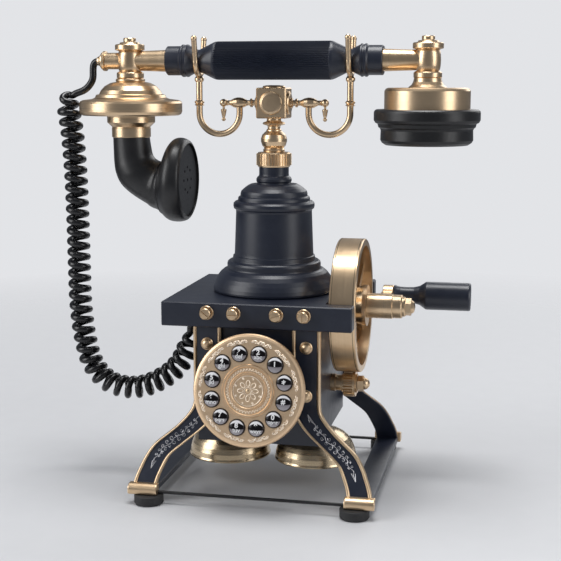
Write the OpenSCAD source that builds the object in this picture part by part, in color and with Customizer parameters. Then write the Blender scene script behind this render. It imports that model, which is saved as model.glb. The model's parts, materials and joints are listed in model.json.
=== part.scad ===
// Corded desk telephone in the open-frame style of the 1890s.
// Millimetres. +X is the user's right, -Y the front and +Z up.
// The origin lies on the table, under the middle of the phone.

/* [Plate and housing] */
// Width of the top plate
plate_w = 130; // [128:1:134]
// Depth of the top plate
plate_d = 122; // [120:1:126]
// Thickness of the top plate
plate_t = 16.6; // [15:0.1:18]
// Height of the plate's underside
plate_z = 119.5; // [118:0.5:121]
// Width of the housing
housing_w = 84; // [82:1:86]
// Depth of the housing
housing_d = 105.4; // [104:0.2:106]
// Height of the housing's underside
housing_z = 38.8; // [38:0.1:43]
// Thickness of the housing's walls
wall = 2.4; // [2:0.1:3]

/* [Side frames] */
// Width of the strip that each side frame is bent from
strip_w = 18.6; // [16:0.1:19]
// Thickness of that strip
strip_t = 4.3; // [3.5:0.1:4.3]
// Half the distance between the legs' centre lines at the top
leg_x = 34; // [32:0.5:35]
// How far each leg flares sideways
flare_x = 39.8; // [36:0.1:42]
// How far each leg leans forwards or backwards
flare_y = 22.4; // [18:0.2:24]
// Height at which the flare begins
knee_z = 69; // [66:0.5:72]
// Radius of a foot
foot_r = 9.9; // [8:0.1:10]
// Height of a foot
foot_h = 6.5; // [5:0.1:7]

/* [Dial] */
// Radius of the dial plate
dial_r = 37.4; // [36:0.1:38]
// Thickness of the dial plate
dial_t = 6; // [5:0.1:7]
// Angle by which the dial leans back
dial_tilt = 9.5; // [5:0.5:12]
// Distance of the dial's face in front of the phone's middle
dial_y = 82; // [81:0.5:84]
// Height of the dial's centre
dial_z = 82.6; // [80:0.1:84]
// Radius of the ring of push buttons
button_ring = 25; // [24:0.1:26]
// Radius of a push button
button_r = 5.4; // [5:0.1:5.6]
// Travel of a push button
button_travel = 1.5; // [1:0.1:2]

/* [Flywheel and crank] */
// Radius of the flywheel
wheel_r = 46.8; // [44:0.1:47]
// Width of the flywheel's rim
wheel_w = 17.7; // [16:0.1:18]
// Distance of the crank handle from the wheel's axis
crank_len = 48; // [46:0.5:50]
// Radius of the crank handle
handle_r = 10.25; // [9:0.25:11]
// Number of spokes
spokes = 6; // [5:1:8]
// Number of teeth on the pinion
pinion_teeth = 24; // [18:1:30]

/* [Column and cradle] */
// Height of the cradle's cross piece
cube_z = 267.5; // [266:0.5:269]
// Edge of the cradle's cross piece
cube_a = 21; // [19:0.5:22]
// Distance of each fork from the middle
fork_x = 53.5; // [52:0.5:55]
// Radius of the bent hook rod
hook_r = 2.2; // [1.8:0.1:2.4]
// Travel of the cradle when the handset is lifted
cradle_travel = 3; // [2:0.5:4]

/* [Handset] */
// Height of the handset's axis
grip_z = 296.5; // [296:0.5:297]
// Radius of the grip
grip_r = 13.2; // [12:0.1:13.5]
// Distance of the microphone's axis from the middle
mic_x = 104.1; // [103:0.1:106]
// Distance of the earpiece's axis from the middle
ear_x = 106; // [104:0.1:108]
// Radius of the microphone housing
mic_r = 36.4; // [34:0.1:37]
// Radius of the earpiece
ear_r = 36; // [34:0.1:37]

/* [Cord] */
// Diameter of the cord
cord_d = 5; // [4:0.1:5.4]
// Outer diameter of the curled cord
curl_d = 17.2; // [14:0.1:18]

/* [Hidden] */
$fn = 96;
bite = 0.01;
running_gap = 0.05;
free_gap = 0.3;
gold = "#c8a46c";
navy = "#2a2f3d";
black = "#1a1a1c";
steel = "#b9bcc0";
far = 400;

plate_top = plate_z + plate_t;
// The wheel turns in a notch in the plate's right side.
notch_x = 45.5;
notch_d = 100;
bar_z = plate_z + 7.7;
shaft_r = 4;
bush_r = 7;
stem_r = 4.4;
stem_bore = stem_r + 0.4;
plate_screw_x = [-33, -14.5, 14.5, 33];
plate_screw_z = plate_z + 10;
slot_angles = [-38, 0, 20, 90];
leg_y = housing_d / 2 + strip_t;
toe_x = leg_x + flare_x;
toe_r = 3.6;
toe_w = 20;
foot_x = toe_x - 3.4;
foot_y = 77.6;
nut_z = [107.5, 74.5];
rod_z = 7.8;
rod_y = 77;
rod_r = 1.1;
rail_y = 76;
rail_w = 16;
rim_share = 0.22;
rim_h = 0.9;
wheel_x = 47;
wheel_out = wheel_x + wheel_w;
hub_r = 8.75;
pinion_r = 9.5;
pinion_x = 51.3;
pinion_w = 6.5;
pinion_z = bar_z - wheel_r - pinion_r - 0.2;
bell_x = 31.5;
bell_y = -5;
bell_r = 29.3;
bell_rim_z = 16.5;
bell_top_z = housing_z - 1;
yoke_z = 84;
clapper_y = 16;
clapper_z = 50;
cord_hole_z = 112.5;
grip_end = 76.1;
tee_r = 7.5;
// The first button, number 3, stands 15 degrees left of the top, and the rest follow clockwise.
button_first = 15;
button_step = 30;

// Route of the curled part of the cord, from the handset down and up to the housing.
curl_route = [
  [-151.6, 0, 269.8], [-150.4, 0, 258], [-148.6, 0, 243], [-147, 0, 216], [-146.4, 0, 184],
  [-146.2, 0, 150], [-145.8, 0, 120], [-143, 0, 95], [-137.6, 0, 76], [-127, 0, 63.8],
  [-113, 0, 59.3], [-99, 0, 60.4], [-86, 0, 66], [-75, 0, 73.8], [-67, 0, 84.5],
  [-63, 0, 95], [-62.4, 0, 103.4]
];
// Route of the straight lead from the handset's gland to the first curl.
lead_route = [
  [-128.3, 0, 296.4], [-129.8, 0, 296.1], [-131.2, 0, 294.6], [-131.8, 0, 292], [-131.9, 0, 288],
  [-132.3, 0, 283.6], [-135.4, 0, 278.9], [-139.6, 0, 275.7], [-145.2, 0, 273.7]
];
// Route of the straight tail from the last curl to the housing's bush.
tail_route = [
  [-62.4, 0, 103.8], [-61.8, 0, 107.2], [-59.4, 0, 110.4], [-55.6, 0, 112.2], [-51, 0, cord_hole_z],
  [-46.2, 0, cord_hole_z]
];

// ---- helpers ----

// A turned solid about +Z through points of radius and height
module turned(points) {
  rotate_extrude() polygon(points);
}

// Lays a shape that was built along +Z down along +X
module along_x() {
  rotate([0, 90, 0]) children();
}

// Copies a shape to the left and the right side
module both_sides() {
  for (s = [0, 1]) mirror([s, 0, 0]) children();
}

// Copies a shape to all four corners
module four_corners() {
  for (s = [0, 1]) mirror([0, s, 0]) both_sides() children();
}

// A box centred on X and Y whose long edges are all cut by c
module bevel_box(w, d, z0, z1, c) {
  intersection() {
    translate([0, 0, z0]) linear_extrude(z1 - z0) cut_rect(w, d, c);
    translate([0, d / 2, (z0 + z1) / 2]) rotate([90, 0, 0]) linear_extrude(d) cut_rect(w, z1 - z0, c);
    translate([-w / 2, 0, (z0 + z1) / 2]) rotate([90, 0, 90]) linear_extrude(w) cut_rect(d, z1 - z0, c);
  }
}

// A rectangle with its corners cut by c
module cut_rect(w, d, c) {
  polygon([
    [-w / 2 + c, -d / 2], [w / 2 - c, -d / 2], [w / 2, -d / 2 + c], [w / 2, d / 2 - c],
    [w / 2 - c, d / 2], [-w / 2 + c, d / 2], [-w / 2, d / 2 - c], [-w / 2, -d / 2 + c]
  ]);
}

// An acorn nut along +Z that starts at z = 0
module acorn_nut(across, nut_h, dome_r) {
  cylinder(h = nut_h, d = across / cos(30), $fn = 6);
  translate([0, 0, nut_h - bite]) intersection() {
    sphere(r = dome_r);
    cylinder(h = dome_r + 1, r = dome_r + 1);
  }
}

function unit(v) = v / norm(v);
function clamp01(t) = max(0, min(1, t));

// Point t of n on a smooth curve through the points p
function spline_point(p, i, t) =
  let (
    a = p[max(0, i - 1)], b = p[i], c = p[i + 1], d = p[min(len(p) - 1, i + 2)]
  )
  0.5 * (2 * b + (c - a) * t + (2 * a - 5 * b + 4 * c - d) * t * t + (3 * b - a - 3 * c + d) * t * t * t);

function spline(p, steps) = [
  for (i = [0 : len(p) - 2], k = [0 : steps - 1]) spline_point(p, i, k / steps),
  p[len(p) - 1]
];

// A round tube of radius r along points that lie in the XZ plane
module sweep_xz(points, r, sides) {
  n = len(points);
  dirs = [for (i = [0 : n - 1]) unit(points[min(i + 1, n - 1)] - points[max(i - 1, 0)])];
  rings = [
    for (i = [0 : n - 1], k = [0 : sides - 1])
      points[i] + r * cos(360 * k / sides) * [-dirs[i][2], 0, dirs[i][0]]
        + r * sin(360 * k / sides) * [0, 1, 0]
  ];
  polyhedron(rings, ring_faces(n, sides), convexity = 6);
}

// Faces of a closed tube of n rings
function ring_faces(n, sides) = concat(
  [[for (k = [sides - 1 : -1 : 0]) k]],
  [
    for (i = [0 : n - 2], k = [0 : sides - 1])
      let (a = i * sides + k, b = i * sides + (k + 1) % sides) [a, b, b + sides, a + sides]
  ],
  [[for (k = [0 : sides - 1]) (n - 1) * sides + k]]
);

// ---- top plate and housing ----

module base_plate() {
  color(navy) difference() {
    bevel_box(plate_w, plate_d, plate_z, plate_top, 0.7);
    translate([notch_x, -notch_d / 2, plate_z - 1]) cube([plate_w, notch_d, plate_t + 2]);
    cylinder(h = far, r = stem_bore);
    translate([notch_x - 20, 0, bar_z]) along_x() cylinder(h = 30, r = bush_r);
    for (x = plate_screw_x) translate([x, -plate_d / 2 - 1, plate_screw_z])
      rotate([-90, 0, 0]) cylinder(h = 13, r = 2);
  }
}

// Four slotted screws, each standing out of a round ring
module plate_screws() {
  color(gold) for (i = [0 : 3]) translate([plate_screw_x[i], -plate_d / 2, plate_screw_z])
    rotate([90, 0, 0]) difference() {
      turned([
        [0, -11], [2, -11], [2, 0], [4.8, 0], [4.8, 0.8], [4.5, 1.2], [4.2, 1.2], [4.1, 0.5],
        [3.8, 0.5], [3.8, 5.1], [3.3, 5.7], [0, 5.9]
      ]);
      rotate(slot_angles[i]) translate([-6, -0.35, 5]) cube([12, 0.7, 2]);
    }
}

module housing() {
  color(navy) difference() {
    translate([-housing_w / 2, -housing_d / 2, housing_z]) cube([housing_w, housing_d, plate_z - housing_z]);
    translate([-housing_w / 2 + wall, -housing_d / 2 + wall, housing_z - 1])
      cube([housing_w - 2 * wall, housing_d - 2 * wall, plate_z - housing_z + 2]);
    at_dial() translate([0, 0, -60]) cylinder(h = 50, r = 23.6);
    translate([-housing_w / 2 - 1, 0, cord_hole_z]) along_x() cylinder(h = wall + 2, r = 4);
    translate([housing_w / 2 - wall - 1, 0, pinion_z]) along_x() cylinder(h = wall + 2, r = 3);
    leg_bolt_holes(2.05);
  }
}

module housing_floor() {
  color(navy) difference() {
    translate([-housing_w / 2 + wall, -housing_d / 2 + wall, housing_z])
      cube([housing_w - 2 * wall, housing_d - 2 * wall, 2]);
    both_sides() translate([bell_x, bell_y, 0]) cylinder(h = 60, r = 3);
    translate([-6, clapper_y - 4, 0]) cube([12, 8, 60]);
  }
}

// ---- side frames ----

// Share of the way from the knee down to the foot at height z
function leg_t(z) = clamp01((knee_z - z) / (knee_z - foot_h));
// Share of the flare that is reached at each share of the way down
flare_curve = [
  [0, 0], [0.08, 0.015], [0.144, 0.068], [0.208, 0.146], [0.272, 0.239], [0.336, 0.349],
  [0.4, 0.475], [0.464, 0.601], [0.528, 0.71], [0.592, 0.796], [0.656, 0.852], [0.72, 0.894],
  [0.784, 0.937], [0.848, 0.97], [0.912, 0.99], [1, 1]
];
// Share of the strip's width at each share of the way down
width_curve = [[0, 1], [0.25, 1.04], [0.48, 1.05], [0.6, 0.88], [0.72, 0.86], [1, 0.86]];
function leg_mid(z) = leg_x + flare_x * lookup(leg_t(z), flare_curve);
function leg_half(z) = strip_w / 2 * lookup(leg_t(z), width_curve);
function leg_face(z) = leg_y + flare_y * pow(leg_t(z), 1.2);
flare_steps = 25;
flare_heights = [for (i = [0 : flare_steps]) knee_z - (knee_z - foot_h + 2) * i / flare_steps];
leg_heights = concat([plate_z], flare_heights);

// Edge of the leg at a share w of its half width, seen from the front
function leg_edge(w) = [for (z = leg_heights) [leg_mid(z) + w * leg_half(z), z]];

function reversed(p) = [for (i = [len(p) - 1 : -1 : 0]) p[i]];

// The leg's outline between two shares of its half width
module leg_outline(w0, w1) {
  rotate([90, 0, 0]) linear_extrude(200, center = true)
    polygon(concat(leg_edge(w0), reversed(leg_edge(w1))));
}

// The leg's side view between two depths behind its front face
module leg_section(t0, t1) {
  heights = concat([plate_z], [for (z = flare_heights) max(z, foot_h)]);
  front = [for (z = heights) [-leg_face(z) + t0, z]];
  back = [for (z = heights) [-leg_face(z) + t1, z]];
  rotate([90, 0, 90]) linear_extrude(90) polygon(concat(front, reversed(back)));
}

module leg_strip(w0, w1, t0, t1) {
  intersection() {
    leg_outline(w0, w1);
    leg_section(t0, t1);
  }
}

module leg_bolt_holes(r) {
  four_corners() for (z = nut_z) translate([leg_x, 0, z]) rotate([90, 0, 0]) cylinder(h = 90, r = r);
}

// One bent strip: front leg, floor rail and rear leg
module side_frame() {
  color(navy) difference() {
    union() {
      for (s = [0, 1]) mirror([0, s, 0]) leg_strip(-1, 1, 0, strip_t);
      translate([toe_x - rail_w / 2, -rail_y, foot_h]) cube([rail_w, 2 * rail_y, 4]);
    }
    leg_bolt_holes(2.05);
    four_corners() translate([0, -rod_y, rod_z]) along_x() cylinder(h = toe_x - 4, r = rod_r);
  }
}

module side_frame_left() {
  mirror([1, 0, 0]) side_frame();
}

module side_frame_right() {
  side_frame();
}

// Raised gold rims on the legs, and the rolled caps on their toes
module frame_trims() {
  toe_y = -leg_face(foot_h);
  color(gold) four_corners() {
    leg_strip(-1, -1 + rim_share, -rim_h, 0);
    leg_strip(1 - rim_share, 1, -rim_h, 0);
    difference() {
      translate([toe_x - toe_w / 2, toe_y - 0.4, foot_h + toe_r]) along_x() cylinder(h = toe_w, r = toe_r);
      translate([toe_x - toe_w / 2 - 1, toe_y - rim_h, foot_h - 1]) cube([toe_w + 2, 12, 12]);
    }
  }
}

module tie_rods() {
  color(black) for (y = [-rod_y, rod_y]) translate([-toe_x + 5, y, rod_z])
    along_x() cylinder(h = 2 * toe_x - 10, r = rod_r);
}

module feet() {
  color(black) four_corners() translate([foot_x, foot_y, 0])
    turned([[0, 0], [foot_r - 0.6, 0], [foot_r, 0.8], [foot_r, foot_h - 0.6], [foot_r - 0.6, foot_h], [0, foot_h]]);
}

// Dome-headed bolts that hold the legs to the housing
module leg_nuts() {
  color(gold) four_corners() for (z = nut_z) translate([leg_x, -leg_y, z]) rotate([90, 0, 0]) {
    translate([0, 0, -strip_t - wall - 3]) cylinder(h = strip_t + wall + 3, r = 2);
    turned([[0, 0], [4.3, 0], [4.3, 0.7], [3.9, 1.1], [3.5, 1.2], [3.3, 2.2], [2.6, 3.1], [1.4, 3.8], [0, 4]]);
    translate([0, 0, -strip_t - wall - 2.2]) cylinder(h = 2.2, d = 7, $fn = 6);
  }
}

// ---- ringer ----

// A gong with a domed top and a thin flared rim
module bell() {
  color(gold) turned([
    [3, bell_top_z], [10, bell_top_z - 0.2], [14, bell_top_z - 0.8], [17.6, bell_top_z - 1.9],
    [20.8, bell_top_z - 3.6], [23.6, bell_top_z - 6], [25.8, bell_top_z - 9], [27.4, bell_top_z - 12.4],
    [28.4, bell_top_z - 16], [28.8, bell_rim_z + 2], [bell_r, bell_rim_z + 0.8], [bell_r, bell_rim_z],
    [bell_r - 1.8, bell_rim_z], [26.6, bell_top_z - 16], [25.4, bell_top_z - 12.2], [23.8, bell_top_z - 9.4],
    [21.6, bell_top_z - 7], [18.8, bell_top_z - 4.9], [15, bell_top_z - 3.2], [10, bell_top_z - 2],
    [3, bell_top_z - 1.6]
  ]);
}

module bell_left() {
  translate([-bell_x, bell_y, 0]) bell();
}

module bell_right() {
  translate([bell_x, bell_y, 0]) bell();
}

// Post, screw and nut for each bell
module bell_posts() {
  color(steel) both_sides() translate([bell_x, bell_y, 0]) {
    translate([0, 0, bell_top_z]) cylinder(h = housing_z - bell_top_z, r = 6);
    translate([0, 0, bell_top_z - 5]) cylinder(h = 12, r = 2.95);
    translate([0, 0, bell_top_z - 4.8]) cylinder(h = 3, d = 9, $fn = 6);
    translate([0, 0, housing_z + 2]) cylinder(h = 3, d = 9, $fn = 6);
  }
}

// Two coils on a yoke, and the bracket with the clapper's pivot pin
module ringer_coil() {
  color("#8a4b2a") {
    for (x = [-14, 14]) translate([x, clapper_y, 60]) {
      cylinder(h = 24, r = 3);
      translate([0, 0, 1]) cylinder(h = 1.5, r = 9);
      translate([0, 0, 2]) cylinder(h = 20, r = 7.6);
      translate([0, 0, 21]) cylinder(h = 1.5, r = 9);
    }
    translate([-22, clapper_y - 5, yoke_z]) cube([44, 12, 4]);
    translate([-7, clapper_y + 5, housing_z + 2]) cube([14, 2, yoke_z - housing_z]);
    translate([-12, clapper_y + 7, housing_z + 2]) cube([24, 9, 2]);
    translate([0, clapper_y + 6, clapper_z]) rotate([90, 0, 0]) cylinder(h = 11, r = 1.5);
  }
}

// Hammer on a swinging rod, with its armature above the pivot
module clapper() {
  color(steel) difference() {
    union() {
      translate([0, clapper_y + 2.5, clapper_z]) rotate([90, 0, 0]) cylinder(h = 5, r = 3);
      translate([0, clapper_y, 24]) cylinder(h = clapper_z - 24, r = 1.2);
      translate([0, clapper_y, 24]) sphere(r = 4);
      translate([-18, clapper_y - 2.5, clapper_z + 2.5]) cube([36, 5, 2]);
    }
    translate([0, clapper_y + 6, clapper_z]) rotate([90, 0, 0]) cylinder(h = 12, r = 1.5 + running_gap);
  }
}

// ---- electrics ----

module circuit_board() {
  color("#2f6b46") {
    translate([-32, 40, 56]) cube([64, 1.6, 54]);
    for (x = [-27, 27], z = [61, 105]) translate([x, 41.6, z]) rotate([-90, 0, 0])
      cylinder(h = housing_d / 2 - wall - 41.6, r = 3);
    translate([-12, 34, 74]) cube([24, 6, 10]);
    translate([14, 30, 90]) cube([12, 10, 9]);
    for (x = [-24, -16]) translate([x, 40, 96]) rotate([90, 0, 0]) cylinder(h = 10, r = 3.2);
  }
}

// Plunger switch that the cradle's stem rests on
module hook_switch() {
  color(black) {
    translate([-11, -6, 98]) cube([22, 12, 15]);
    cylinder_at(112, 3.6, 2);
    for (x = [-14, 11]) translate([x, -6, 98]) cube([3, 12, plate_z - 98]);
  }
}

module cylinder_at(z, h, r) {
  translate([0, 0, z]) cylinder(h = h, r = r);
}

// ---- column ----

module column() {
  color(navy) difference() {
    turned([
      [0, plate_top], [41.6, plate_top], [42.8, plate_top + 1.2], [42.9, 138.4], [42.5, 140.8],
      [41.4, 144], [39.8, 147], [37.8, 149.6], [35.6, 151.4], [34.2, 152], [33.2, 152.2],
      [33, 153], [33.1, 155.6], [32.6, 157], [31.6, 157.8], [29.4, 158], [29.2, 158.6],
      [28.9, 161.2], [28, 161.6], [27.9, 162.2], [27.8, 163.4], [27.3, 176], [26.7, 192.4],
      [26.9, 193.6], [28.2, 194.6], [28.6, 196.2], [28.4, 198.2], [27.2, 199.4], [25.4, 200],
      [25.2, 201.8], [24.8, 202.6], [23.6, 203.2], [23.5, 205], [23, 206.6], [20.6, 208.8],
      [18.4, 210.4], [16.4, 211.4], [12, 211.8], [11.8, 212.4], [12.4, 213.4], [12.4, 215],
      [11.6, 216.4], [10.6, 217.2], [10.4, 218.2], [10.4, 223.5], [0, 223.5]
    ]);
    cylinder_at(plate_top - 1, far, stem_bore);
    turned([[0, plate_top - 1], [26, plate_top - 1], [26, 158], [23, 166], [22, 196], [8, 206], [0, 206]]);
  }
}

// A ring outline with n ridges between radii r0 and r1
module ridged(r0, r1, n) {
  polygon([
    for (i = [0 : n - 1], k = [0 : 3])
      let (a = 360 * (i + [0.08, 0.3, 0.58, 0.8][k]) / n, r = (k == 0 || k == 3) ? r0 : r1)
        [r * cos(a), r * sin(a)]
  ]);
}

module column_nut() {
  color(gold) difference() {
    union() {
      translate([0, 0, 224.6]) linear_extrude(8) ridged(11.5, 12.3, 36);
      turned([[0, 223.5], [11.2, 223.5], [11.6, 224.6], [11.6, 232.6], [11, 233.5], [0, 233.5]]);
    }
    cylinder_at(220, 20, stem_bore);
  }
}

// ---- dial ----

// Frame of the dial: +Z points out of its face, and +Y up along it
module at_dial() {
  translate([0, -dial_y, dial_z]) rotate([90 - dial_tilt, 0, 0]) children();
}

module dial_plate() {
  color(gold) at_dial() difference() {
    turned([
      [0, -dial_t], [dial_r - 1, -dial_t], [dial_r, -dial_t + 1], [dial_r, -1.8], [dial_r - 0.6, -0.8],
      [dial_r - 1.8, -0.2], [dial_r - 3, 0], [17.6, 0], [17.2, 0.7], [16, 0.7], [15.4, -0.2],
      [12.6, -0.2], [12.2, 0.4], [11.4, 0.4], [11, -0.1], [0, -0.1]
    ]);
    for (i = [0 : 11]) rotate(button_first - i * button_step) translate([0, button_ring, -dial_t - 1])
      cylinder(h = dial_t + 2, r = button_r + free_gap);
  }
}

// Cup behind the dial, with the neck that enters the housing
module dial_housing() {
  color(black) at_dial() difference() {
    union() {
      translate([0, 0, -14.5]) cylinder(h = 14.5 - dial_t, r = 34);
      translate([0, 0, -35]) cylinder(h = 21, r = 23.5);
    }
    translate([0, 0, -12.5]) cylinder(h = 10, r = 32);
    translate([0, 0, -36]) cylinder(h = 21.5, r = 21.5);
  }
}

// The push button that stands i places clockwise from the first
module push_button(i) {
  color(black) at_dial() rotate(button_first - i * button_step) translate([0, button_ring, 0])
    turned([
      [0, -10.4], [2, -10.4], [2, -8.4], [6.3, -8.4], [6.3, -7.2 + 0.6], [button_r, -6.6],
      [button_r, 0.2], [5, 0.8], [4.2, 1.4], [3, 1.9], [1.6, 2.2], [0, 2.3]
    ]);
}

module button_1() { push_button(2); }
module button_2() { push_button(1); }
module button_3() { push_button(0); }
module button_4() { push_button(11); }
module button_5() { push_button(10); }
module button_6() { push_button(9); }
module button_7() { push_button(8); }
module button_8() { push_button(7); }
module button_9() { push_button(6); }
module button_0() { push_button(5); }
module button_star() { push_button(3); }
module button_hash() { push_button(4); }

// ---- crank ----

// Bearing bush that is pressed into the plate
module crank_bush() {
  color(gold) translate([0, 0, bar_z]) along_x() difference() {
    union() {
      translate([0, 0, notch_x - 20]) cylinder(h = 20, r = bush_r);
    }
    translate([0, 0, notch_x - 21]) cylinder(h = 22, r = shaft_r + running_gap);
  }
}

module crank_shaft() {
  color(steel) translate([0, 0, bar_z]) along_x() translate([0, 0, notch_x - 18]) cylinder(h = 66, r = shaft_r);
}

module flywheel() {
  color(gold) translate([0, 0, bar_z]) along_x() difference() {
    union() {
      turned([
        [42, wheel_x], [wheel_r - 0.6, wheel_x], [wheel_r, wheel_x + 0.6],
        [wheel_r, wheel_out - 0.6], [wheel_r - 0.6, wheel_out], [42, wheel_out]
      ]);
      turned([
        [0, wheel_x + 2], [9, wheel_x + 2], [11, wheel_x + 5], [12.5, wheel_x + 13],
        [14.5, wheel_out], [14.5, wheel_out + 2.4], [0, wheel_out + 2.4]
      ]);
      for (i = [0 : spokes - 1]) rotate(180 + 360 * i / spokes) spoke();
    }
    cylinder(h = 100, r = shaft_r);
  }
}

// A flat spoke that tapers towards the hub
module spoke() {
  translate([0, 0, wheel_x + 6]) linear_extrude(6) polygon([[8, -2], [43.5, -3.6], [43.5, 3.6], [8, 2]]);
}

module crank_arm() {
  color(gold) translate([0, 0, bar_z]) difference() {
    union() {
      along_x() turned([
        [0, wheel_out + 2.6], [hub_r, wheel_out + 2.6], [hub_r, 84.8], [8.25, 85.2], [8.25, 91],
        [7.8, 91.5], [0, 91.5]
      ]);
      translate([76.2, 0, 0]) rotate([0, 90, 0]) linear_extrude(7.6, center = true)
        polygon([[-4, 0], [4, 0], [3.6, crank_len], [-3.6, crank_len]]);
      translate([72.4, crank_len, 0]) along_x() turned([[0, 0], [6.6, 0], [7, 0.5], [7, 7], [6.6, 7.6], [0, 7.6]]);
      translate([79.9, crank_len, 0]) along_x() cylinder(h = 44, r = 2.5);
      translate([123, crank_len, 0]) along_x() cylinder(h = 2.5, r = 4);
    }
    translate([wheel_out, 0, 0]) along_x() cylinder(h = 40, r = shaft_r);
  }
}

// Washer and hexagonal nut with a domed end
module crank_nut() {
  color(gold) translate([91.5, 0, bar_z]) along_x() difference() {
    union() {
      turned([[0, 0], [7, 0], [7, 1.8], [6.4, 2.3], [0, 2.3]]);
      translate([0, 0, 2.3]) cylinder(h = 4, d = 10.6 / cos(30), $fn = 6);
      translate([0, 0, 6.3 - bite]) turned([[0, 0], [4.6, 0], [4.3, 1.2], [3.4, 2], [1.8, 2.5], [0, 2.6]]);
    }
    translate([0, 0, -1]) cylinder(h = 3.2, r = shaft_r);
  }
}

module crank_handle() {
  color(navy) translate([0, crank_len, bar_z]) along_x() difference() {
    turned([
      [0, 80.3], [6.8, 80.3], [7.1, 81], [6.6, 82.4], [6, 85], [5.8, 90], [6, 95], [7, 99], [9, 102],
      [9.9, 103.2], [handle_r, 104.2], [handle_r, 135], [9.6, 136], [0, 136]
    ]);
    translate([0, 0, 79]) cylinder(h = 43.7, r = 2.5 + running_gap);
    translate([0, 0, 122.6]) cylinder(h = 3.4, r = 4.1);
  }
}

// ---- pinion ----

module pinion_stud() {
  color(gold) translate([0, 0, pinion_z]) along_x() {
    translate([0, 0, housing_w / 2 - wall - 2]) cylinder(h = 24, r = 3);
    translate([0, 0, housing_w / 2 - wall - 3]) cylinder(h = 3, d = 10, $fn = 6);
    translate([0, 0, housing_w / 2]) turned([[0, 0], [6.2, 0], [6.2, 3], [5.6, 3.4], [5.6, 7.5], [0, 7.5]]);
    translate([0, 0, 61]) acorn_nut(10, 4.2, 4.2);
  }
}

// A toothed roller with a plain flange on its outer side
module pinion() {
  color(gold) translate([0, 0, pinion_z]) along_x() difference() {
    union() {
      translate([0, 0, pinion_x]) linear_extrude(pinion_w) ridged(8.2, pinion_r, pinion_teeth);
      translate([0, 0, pinion_x + pinion_w - bite]) cylinder(h = 1.7, r = 9.2);
      translate([0, 0, 49.8]) cylinder(h = 10.9, r = 6.6);
    }
    translate([0, 0, 49]) cylinder(h = 12, r = 3 + running_gap);
  }
}

// ---- cord ends ----

module cord_bush() {
  color(black) translate([0, 0, cord_hole_z]) rotate([0, -90, 0]) turned([
    [0, housing_w / 2 - wall - 1], [4, housing_w / 2 - wall - 1], [4, housing_w / 2],
    [5.8, housing_w / 2], [5.6, housing_w / 2 + 1.4], [4, housing_w / 2 + 4], [0, housing_w / 2 + 4]
  ]);
}

module cord_coil() {
  color(black) sweep_xz(spline(curl_route, 2), curl_d / 2, 12);
}

module cord_lead() {
  color(black) sweep_xz(spline(lead_route, 2), cord_d / 2, 8);
}

module cord_tail() {
  color(black) sweep_xz(spline(tail_route, 2), cord_d / 2, 8);
}

// ---- cradle ----

// Stem from the hook switch up to the cube
module cradle_stem() {
  cube_bottom = cube_z - cube_a / 2;
  color(gold) union() {
    cylinder_at(115.9, 120, stem_r);
    turned([
      [0, 233.8], [7.4, 233.8], [7.6, 235.2], [6.8, 236.4], [8.2, 238.2], [9.1, 241], [9.1, 243],
      [8.2, 245.6], [6.4, 247.4], [5.4, 248.2], [5.2, 249], [4.4, 249.8], [4.4, 251.2], [5, 252],
      [7.4, 252.6], [8, 253.4], [7.4, 254.2], [5.4, 254.8], [5, 255.6], [5, cube_bottom], [0, cube_bottom]
    ]);
  }
}

module cradle_cube() {
  color(gold) difference() {
    translate([0, 0, cube_z]) intersection() {
      linear_extrude(cube_a, center = true) cut_rect(cube_a, cube_a, 0.8);
      rotate([90, 0, 0]) linear_extrude(cube_a, center = true) cut_rect(cube_a, cube_a, 0.8);
      rotate([90, 0, 90]) linear_extrude(cube_a, center = true) cut_rect(cube_a, cube_a, 0.8);
    }
    for (r = cap_turns) translate([0, 0, cube_z]) rotate(r) translate([0, 0, cube_a / 2 - 4]) cylinder(h = 5, r = 3);
  }
}

// Turns that bring +Z to the cube's top, left, right, front and back faces
cap_turns = [[0, 0, 0], [0, -90, 0], [0, 90, 0], [90, 0, 0], [-90, 0, 0]];

// Round bosses on five faces of the cube
module cradle_caps() {
  color(gold) for (r = cap_turns) translate([0, 0, cube_z]) rotate(r) translate([0, 0, cube_a / 2]) turned([
    [0, -4], [3, -4], [3, 0], [7.9, 0], [7.9, 0.5], [7.4, 1.1], [6, 1.5], [3, 1.7], [0, 1.7]
  ]);
}

// A turned rod on each side, with a pendant drop at its end
module cradle_arms() {
  start = cube_a / 2 + 1.7;
  color(gold) both_sides() translate([0, 0, cube_z]) {
    along_x() turned([
      [0, start], [3.4, start], [3.4, 13.2], [2, 13.6], [2, 15], [3, 15.4], [3, 16.6], [2, 17],
      [1.8, 18.4], [2.2, 19.6], [3.2, 21.6], [3.75, 24], [3.75, 26], [3.2, 28.4], [2.2, 30.2],
      [1.7, 31.2], [1.7, 33], [2.2, 33.4], [1.6, 34], [0, 34]
    ]);
    translate([36, 0, 0]) sphere(r = 2.7);
    translate([36, 0, 0]) turned([
      [0, -2], [0.8, -2], [0.8, -4.2], [2, -4.6], [2, -5.4], [1.3, -9], [0.8, -10.4], [0, -10.4]
    ]);
    translate([36, 0, -11.4]) sphere(r = 1.4);
  }
}

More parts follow.
